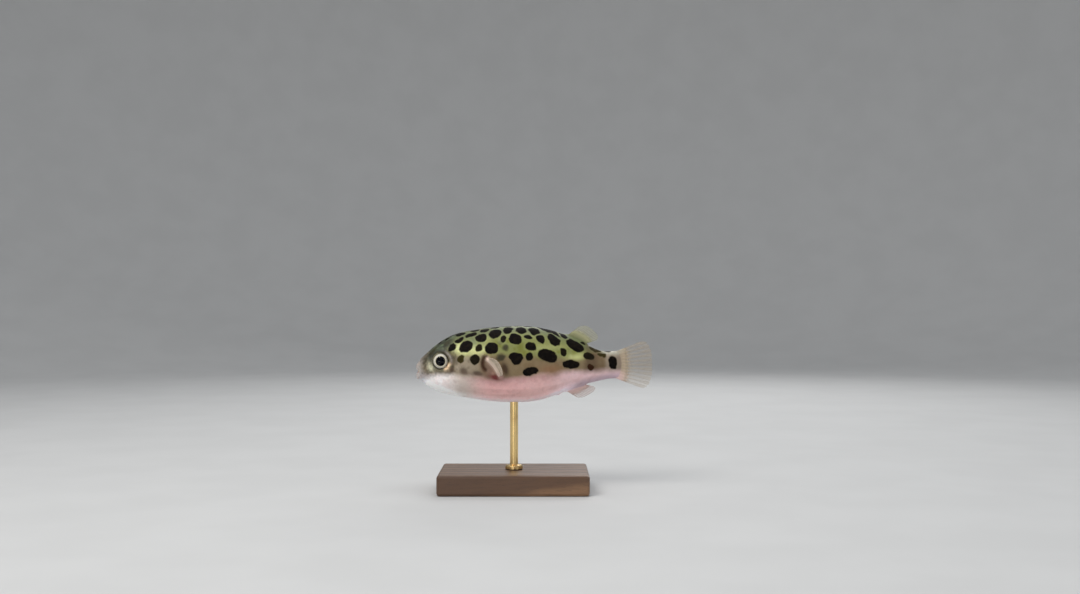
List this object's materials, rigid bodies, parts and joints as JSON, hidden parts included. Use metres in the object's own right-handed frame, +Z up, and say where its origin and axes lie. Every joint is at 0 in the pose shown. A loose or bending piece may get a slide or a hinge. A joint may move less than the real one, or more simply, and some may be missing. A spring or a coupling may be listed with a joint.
{
  "type": "green spotted pufferfish model on a display stand",
  "caption": "Life-size spotted freshwater pufferfish swimming level with side fins spread, held over a flat wooden base by a short metal rod under the belly.",
  "frame": {"origin": "on the floor, at the centre of the model's outline seen from above, under the middle of the fish", "axes": "+Z up; the fish faces -Y, so +Y points to its tail and +X to its left side"},
  "size_m": [0.0326, 0.07, 0.049],
  "materials": {
    "skin": "moist scaleless skin, satin: yellow-green back with black spots, pinkish white belly",
    "fin_web": "thin see-through fin web over fine rays",
    "eye": "wet, black pupil in an ivory ring",
    "tooth": "polished ivory tooth plate",
    "stand_wood": "dark walnut, satin oil",
    "stand_brass": "satin brass"
  },
  "bodies": {
    "root": {"head": "skin", "trunk": "skin", "tail_stalk": "skin", "dorsal_fin": "fin_web", "anal_fin": "fin_web", "caudal_fin": "fin_web", "pectoral_fin_left": "fin_web", "pectoral_fin_right": "fin_web", "eye_left": "eye", "eye_right": "eye", "beak_upper": "tooth", "beak_lower": "tooth", "stand_base": "stand_wood", "stand_rod": "stand_brass"}
  },
  "joints": []
}
